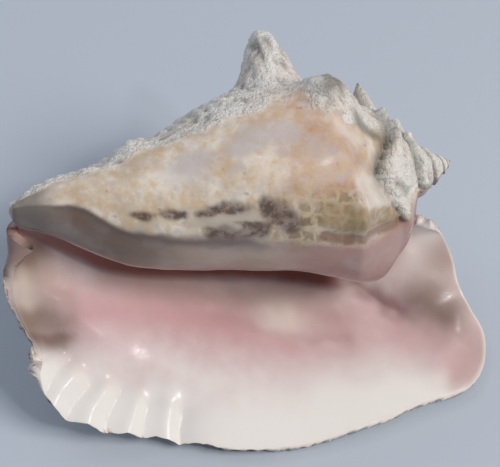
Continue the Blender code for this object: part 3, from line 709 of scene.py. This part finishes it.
def makeShell():
    mesh, side, share, across, isNew = joinSkins()
    print("skins joined:", len(mesh.vertices), "points")
    smoothSeam(mesh, isNew, meshPlaces(mesh) / mm)
    places = meshPlaces(mesh) / mm
    fields, phi = shellFields(places, side, across)
    height = shellRelief(places, side, share, across, fields, phi)
    normals = np.empty(len(mesh.vertices) * 3)
    mesh.vertices.foreach_get("normal", normals)
    normals = normals.reshape(-1, 3)
    moved = places + normals * height[:, None]
    # chips in the margin
    coarse, small = relief["chipSizes"]
    chip = np.clip(noiseAt(places, coarse, 12) + relief["chipShare"] * noiseAt(places, small, 13), -1, 1)
    rimward = ease(across, relief["chipReach"], 0.0) * (side > 0)
    moved = moved + np.array(relief["chipInward"]) * (relief["edgeChip"] * chip * rimward)[:, None]
    # painted shade where the relief sinks and along the sutures, painted highlight where it rises
    growth = np.where(phi < innerLip["edgeAngle"], phi + 360.0, phi)
    seam = seamShare(places[:, 2], growth) * (side == 0)
    fields["hollow"] = np.maximum(ease(height, *relief["hollowFrom"]), relief["seamShade"] * seam)
    fields["litCrests"] = ease(height, *relief["litCrestFrom"])
    # turned to its rest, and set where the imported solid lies
    turn = np.array(Euler([radians(angle) for angle in restTurns]).to_matrix())
    world = moved @ turn.T * mm
    plain = places @ turn.T * mm
    low, high = plain.min(axis=0), plain.max(axis=0)
    solidLow, solidHigh = np.array(cadLow), np.array(cadHigh)
    world[:, :2] += (solidLow[:2] + solidHigh[:2]) / 2 - (low[:2] + high[:2]) / 2
    world[:, 2] += solidLow[2] - low[2]
    world = np.clip(world, solidLow, solidHigh)
    mesh.vertices.foreach_set("co", world.ravel())
    for name, values in fields.items():
        attribute = mesh.attributes.new(name, "FLOAT", "POINT")
        attribute.data.foreach_set("value", values.astype(np.float32))
    own = mesh.attributes.new("own", "FLOAT_VECTOR", "POINT")
    own.data.foreach_set("vector", places.astype(np.float32).ravel())
    mesh.update()
    # the enamel is the lip's upper face and the walls of the aperture
    enamel = (side == 1) | (fields["cave"] + fields["notch"] > 0.5)
    for face in mesh.polygons:
        face.material_index = int(sum(enamel[i] for i in face.vertices) * 2 >= len(face.vertices))
        face.use_smooth = True
    shell = bpy.data.objects.new("shell", mesh)
    bpy.context.scene.collection.objects.link(shell)
    return shell


def hexColour(code):
    # sRGB hex to linear
    parts = [int(code[i:i + 2], 16) / 255 for i in (1, 3, 5)]
    return [p / 12.92 if p <= 0.04045 else ((p + 0.055) / 1.055) ** 2.4 for p in parts] + [1.0]


def addNode(tree, kind, settings=None, links=None):
    # a node with its settings, and what feeds its inputs: a socket, or a plain value
    node = tree.nodes.new(kind)
    for name, value in (settings or {}).items():
        setattr(node, name, value)
    for name, value in (links or {}).items():
        socket = node.inputs[name]
        if isinstance(value, bpy.types.NodeSocket):
            tree.links.new(value, socket)
        else:
            socket.default_value = value
    return node


smoothly = {"interpolation_type": "SMOOTHSTEP"}
spanSockets = ("From Min", "From Max", "To Min", "To Max")


def layColours(tree, colour, layers, tints, patterns):
    # each layer: its colour, the field and the pattern that it shows by, the pattern's span, and
    # the shares at the span's ends, or the one share where there is no pattern
    for tint, field, pattern, span, shares in layers:
        share = shares[-1]
        if pattern:
            share = addNode(tree, "ShaderNodeMapRange", smoothly, {
                "Value": patterns[pattern], **dict(zip(spanSockets, span + shares))}).outputs["Result"]
        if field:
            where = patterns.get(field) or addNode(
                tree, "ShaderNodeAttribute", {"attribute_name": field}).outputs["Fac"]
            share = addNode(tree, "ShaderNodeMath", {"operation": "MULTIPLY", "use_clamp": True},
                            {0: where, 1: share}).outputs[0]
        over = patterns.get(tint) or hexColour(tints[tint])
        colour = addNode(tree, "ShaderNodeMix", {"data_type": "RGBA"},
                         {0: share, 6: colour, 7: over}).outputs[2]
    return colour


def startFinish(name, looks):
    # a material, with its places and its noise patterns as sockets
    material = bpy.data.materials.new(name)
    material.use_nodes = True
    tree = material.node_tree
    place = addNode(tree, "ShaderNodeAttribute", {"attribute_name": "own"}).outputs["Vector"]
    patterns = {"place": place}
    for pattern, (size, detail, rough) in looks["noises"].items():
        # one over the lump's size, because places are in millimetres
        patterns[pattern] = addNode(tree, "ShaderNodeTexNoise", {}, {
            "Vector": place, "Scale": 1.0 / size, "Detail": detail, "Roughness": rough}).outputs["Fac"]
    return material, patterns


def endFinish(material, looks, colour, rough, height):
    tree = material.node_tree
    shader = tree.nodes["Principled BSDF"]
    bump = addNode(tree, "ShaderNodeBump", {}, {
        "Strength": looks["bumpStrength"], "Distance": looks["bumpMm"] * mm, "Height": height})
    tree.links.new(colour, shader.inputs["Base Color"])
    tree.links.new(rough, shader.inputs["Roughness"])
    tree.links.new(bump.outputs["Normal"], shader.inputs["Normal"])
    shader.inputs["IOR"].default_value = looks["ior"]


outerLooks = {
    "colours": {
        "tan": "#bfab94", "cream": "#dfd6c9", "ochre": "#c3a67e", "orange": "#b5917b",
        "callus": "#9b877b", "callusDark": "#68564d", "callusRosy": "#9e7b75", "callusEdge": "#5f5350",
        "mauve": "#574542", "streak": "#b9afa2", "olive": "#83705a", "line": "#b0a084",
        "band": "#957f5c", "lilac": "#b7b0b3", "paleAndLit": "#e9e1da", "grimeAndShade": "#625e55",
        "shade": "#77594b", "chalk": "#e4e3df", "chalkRose": "#e0d8d0", "speckle": "#9c9b94",
        "hollowShadeTint": "#75736c", "litCrests": "#eeede9", "canal": "#6f6b67", "rim": "#dcc6ba"},
    # lump's size in millimetres, detail, roughness
    "noises": {"mottle": (13.0, 4.0, 0.6), "small": (4.0, 4.0, 0.6), "speck": (1.1, 4.0, 0.7),
               "dapples": (5.5, 3.0, 0.5), "flecks": (4.2, 1.0, 0.4), "cloud": (18.0, 3.0, 0.5),
               "rosy": (16.0, 3.0, 0.55)},
    # olive squares between pale lines
    "lattice": (("line", "lines", "", (), (1.0,)),),
    # the callus turns from rosy to dark grey towards the canal
    "veil": (("callusRosy", "callusRosy", "", (), (1.0,)), ("callusDark", "callusDark", "", (), (1.0,)),
             ("lilac", "", "cloud", (0.35, 0.65), (0.0, 0.22))),
    "chalky": (("chalkRose", "", "rosy", (0.42, 0.62), (0.0, 1.0)),
               ("speckle", "", "speck", (0.50, 0.68), (0.0, 0.65)),
               # painted highlight on the relief's crests, painted shade in its hollows and sutures
               ("litCrests", "litCrests", "", (), (1.0,)), ("hollowShadeTint", "hollow", "", (), (0.7,))),
    # the layers below lay the shell's colours; the grey-green layer also paints shade in the hollows by the
    # suture and under the shoulder band, and the last one paints a highlight along the inner lip's edge
    "all": (("cream", "", "mottle", (0.28, 0.72), (0.0, 1.0)),
            ("paleAndLit", "", "small", (0.52, 0.66), (0.0, 0.25)),
            ("orange", "orange", "mottle", (0.30, 0.62), (0.95, 0.6)),
            ("ochre", "", "dapples", (0.50, 0.66), (0.0, 0.5)),
            ("lilac", "", "dapples", (0.46, 0.32), (0.0, 0.4)),
            ("mauve", "", "flecks", (0.70, 0.80), (0.0, 0.35)),
            ("lattice", "squares", "mottle", (0.35, 0.6), (1.0, 0.45)),
            ("band", "band", "small", (0.3, 0.6), (0.95, 0.6)),
            ("veil", "callus", "", (), (0.95,)), ("callusEdge", "callusEdge", "", (), (0.8,)),
            ("shade", "shade", "", (), (0.8,)), ("mauve", "mauve", "small", (0.40, 0.60), (0.95, 0.65)),
            ("streak", "streak", "", (), (0.8,)), ("lilac", "lilac", "", (), (0.7,)),
            ("canal", "canal", "", (), (0.8,)), ("chalky", "chalkShare", "", (), (0.92,)),
            ("grimeAndShade", "grimeAndShade", "", (), (0.85,)), ("paleAndLit", "paleAndLit", "", (), (0.5,)),
            ("rim", "edgeRimLight", "", (), (0.8,))),
    "lineMm": 6.4, "lineLean": 0.22, "lineBend": 7.0, "lineSpan": (0.2, 1.0),
    "ragged": (0.25, 0.55, 0.55, 1.3), "chalkShare": (0.22, 0.78),
    "rough": (0.0, 1.0, 0.27, 0.85), "wrinkled": (0.0, 1.0, 0.04, 1.0),         # from glaze to chalk
    "wrinkleMm": 3.0, "bumpMm": 0.5, "bumpStrength": 0.8, "ior": 1.53,
}


def outerMaterial():
    # Worn outer shell, calcium carbonate: chalky and matt where it weathered, and under a thin
    # clear glaze, with tan and mauve showing through, where the animal's mantle lay on it.
    looks = outerLooks
    material, patterns = startFinish("wornOuterShell", looks)
    tree = material.node_tree
    parts = addNode(tree, "ShaderNodeSeparateXYZ", {}, {0: patterns["place"]})
    waves = []
    for first, second in (("Z", "X"), ("X", "Z")):
        lean = addNode(tree, "ShaderNodeMath", {"operation": "MULTIPLY_ADD"},
                       {0: parts.outputs[second], 1: looks["lineLean"], 2: parts.outputs[first]})
        bent = addNode(tree, "ShaderNodeMath", {"operation": "MULTIPLY_ADD"},
                       {0: patterns["small"], 1: looks["lineBend"], 2: lean.outputs[0]})
        turned = addNode(tree, "ShaderNodeMath", {"operation": "MULTIPLY"},
                         {0: bent.outputs[0], 1: 2 * pi / looks["lineMm"]})
        wave = addNode(tree, "ShaderNodeMath", {"operation": "SINE"}, {0: turned.outputs[0]})
        waves.append(addNode(tree, "ShaderNodeMapRange", smoothly, {
            "Value": wave.outputs[0], **dict(zip(spanSockets, looks["lineSpan"]))}).outputs["Result"])
    patterns["lines"] = addNode(tree, "ShaderNodeMath", {"operation": "MAXIMUM"},
                                {0: waves[0], 1: waves[1]}).outputs[0]
    # where the chalk has worn through, raggedly
    ragged = addNode(tree, "ShaderNodeMapRange", smoothly, {
        "Value": patterns["small"], **dict(zip(spanSockets, looks["ragged"]))})
    chalk = addNode(tree, "ShaderNodeAttribute", {"attribute_name": "chalk"})
    patterns["worn"] = addNode(tree, "ShaderNodeMath", {"operation": "MULTIPLY", "use_clamp": True},
                               {0: chalk.outputs["Fac"], 1: ragged.outputs["Result"]}).outputs[0]
    for name, source in (("chalkShare", "worn"), ("rough", "chalkShare"), ("wrinkled", "chalkShare")):
        patterns[name] = addNode(tree, "ShaderNodeMapRange", smoothly, {
            "Value": patterns[source], **dict(zip(spanSockets, looks[name]))}).outputs["Result"]
    for name, base in (("lattice", "olive"), ("veil", "callus"), ("chalky", "chalk"), ("all", "tan")):
        patterns[name] = layColours(tree, hexColour(looks["colours"][base]), looks[name],
                                    looks["colours"], patterns)
    wrinkles = addNode(tree, "ShaderNodeTexNoise", {"noise_type": "RIDGED_MULTIFRACTAL"}, {
        "Vector": patterns["place"], "Scale": 1.0 / looks["wrinkleMm"], "Detail": 4.0,
        "Roughness": 0.6, "Offset": 1.0, "Gain": 2.0})
    height = addNode(tree, "ShaderNodeMath", {"operation": "MULTIPLY"},
                     {0: wrinkles.outputs["Fac"], 1: patterns["wrinkled"]}).outputs[0]
    endFinish(material, looks, patterns["all"], patterns["rough"], height)
    return material


enamelLooks = {
    "colours": {
        "pink": "#d3bbbc", "creamy": "#ebe8e4", "blush": "#c99c9f", "greige": "#a9918a",
        "brownAndShade": "#745b51", "olive": "#a08f7c", "creaseTintAndShade": "#95706e", "paleAndLit": "#e0d2c9",
        "shadeUnderLip": "#ad736a", "cave": "#a87468", "rim": "#e8e2d8"},
    "noises": {"streaks": (11.0, 3.0, 0.55), "fine": (2.2, 3.0, 0.6)},
    # the layers below lay the enamel's colours; they also paint shade under the inner lip's edge, in the
    # creases, notches and canal and on the aperture's walls, and highlight on the swelling and along the
    # wing's join
    "all": (("creamy", "", "streaks", (0.3, 0.7), (0.0, 0.3)), ("creamy", "cream", "", (), (0.95,)),
            ("greige", "greige", "", (), (0.9,)), ("blush", "blush", "", (), (0.9,)),
            ("cave", "cave", "", (), (1.0,)), ("olive", "olive", "", (), (0.9,)),
            ("brownAndShade", "brownAndShade", "", (), (0.9,)), ("creaseTintAndShade", "creaseTintAndShade", "", (), (0.8,)),
            ("paleAndLit", "paleAndLit", "", (), (0.8,)), ("shadeUnderLip", "shadeUnderLip", "", (), (0.9,)),
            ("rim", "rim", "", (), (0.7,))),
    "rough": (0.3, 0.7, 0.19, 0.27),
    "bumpMm": 0.15, "bumpStrength": 0.2, "ior": 1.53,
}


def enamelMaterial():
    # Aperture enamel, porcelain-like calcium carbonate laid down by the mantle: smooth and
    # glossy, pink in the depth and cream at the margin.
    looks = enamelLooks
    material, patterns = startFinish("apertureEnamel", looks)
    tree = material.node_tree
    colour = layColours(tree, hexColour(looks["colours"]["pink"]), looks["all"], looks["colours"], patterns)
    rough = addNode(tree, "ShaderNodeMapRange", smoothly, {
        "Value": patterns["fine"], **dict(zip(spanSockets, looks["rough"]))}).outputs["Result"]
    endFinish(material, looks, colour, rough, patterns["fine"])
    return material


studio = {
    # places and sizes in metres, the lens and its sensor in millimetres
    "cameraPlace": (-0.021, -0.3663, 0.5309), "cameraTurns": (38.07, -2.06, -0.02), "lens": 90.0,
    "keyPlace": (1.36, -0.58, 1.63), "keySize": 0.96, "keyWatts": 34.0, "keyColour": "#fff9f2",
    "fillPlace": (-0.7, 0.7, 1.1), "fillSize": 1.2, "fillWatts": 5.6, "fillColour": "#eaf0fb",
    "glintPlace": (0.5, -0.5, 1.0), "glintSize": 0.08, "glintWatts": 1.3, "glintColour": "#ffffff",
    "skyColour": "#eaeff8", "skyStrength": 0.30,
    "floorColour": "#b5beca", "floorHalf": 1.6, "floorRough": 0.6, "floorDrop": 0.0002,
    "lampsAim": (0, 0, 0.03), "sensor": 36.0,
}


def makeStudio():
    scene = bpy.context.scene
    bm = bmesh.new()
    bmesh.ops.create_grid(bm, x_segments=1, y_segments=1, size=studio["floorHalf"])
    mesh = bpy.data.meshes.new("floor")
    bm.to_mesh(mesh)
    bm.free()
    floor = bpy.data.objects.new("floor", mesh)
    floor.location.z = -studio["floorDrop"]
    scene.collection.objects.link(floor)
    paint = bpy.data.materials.new("paleMattFloor")
    paint.use_nodes = True
    shader = paint.node_tree.nodes["Principled BSDF"]
    shader.inputs["Base Color"].default_value = hexColour(studio["floorColour"])
    shader.inputs["Roughness"].default_value = studio["floorRough"]
    mesh.materials.append(paint)
    for name in ("key", "fill", "glint"):
        light = bpy.data.lights.new(name, "AREA")
        light.shape = "DISK"
        light.size = studio[name + "Size"]
        light.energy = studio[name + "Watts"]
        light.color = hexColour(studio[name + "Colour"])[:3]
        lamp = bpy.data.objects.new(name, light)
        lamp.location = studio[name + "Place"]
        toward = Vector(studio["lampsAim"]) - lamp.location
        lamp.rotation_euler = toward.to_track_quat("-Z", "Y").to_euler()
        lamp.visible_glossy = name == "glint"       # only the window is mirrored in the enamel
        scene.collection.objects.link(lamp)
    world = bpy.data.worlds.new("sky")
    world.use_nodes = True
    sky = world.node_tree.nodes["Background"]
    sky.inputs["Color"].default_value = hexColour(studio["skyColour"])
    sky.inputs["Strength"].default_value = studio["skyStrength"]
    scene.world = world
    lens = bpy.data.cameras.new("camera")
    lens.lens = studio["lens"]
    lens.sensor_width = studio["sensor"]
    lens.sensor_fit = "HORIZONTAL"
    camera = bpy.data.objects.new("camera", lens)
    camera.location = studio["cameraPlace"]
    camera.rotation_euler = [radians(angle) for angle in studio["cameraTurns"]]
    scene.collection.objects.link(camera)
    scene.camera = camera
    scene.view_settings.view_transform = "Standard"


shell = makeShell()
shell.data.materials.append(outerMaterial())
shell.data.materials.append(enamelMaterial())
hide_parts("conch_shell")
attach(shell, "root")
print("shell made:", len(shell.data.polygons), "faces")
makeStudio()
print("studio made")
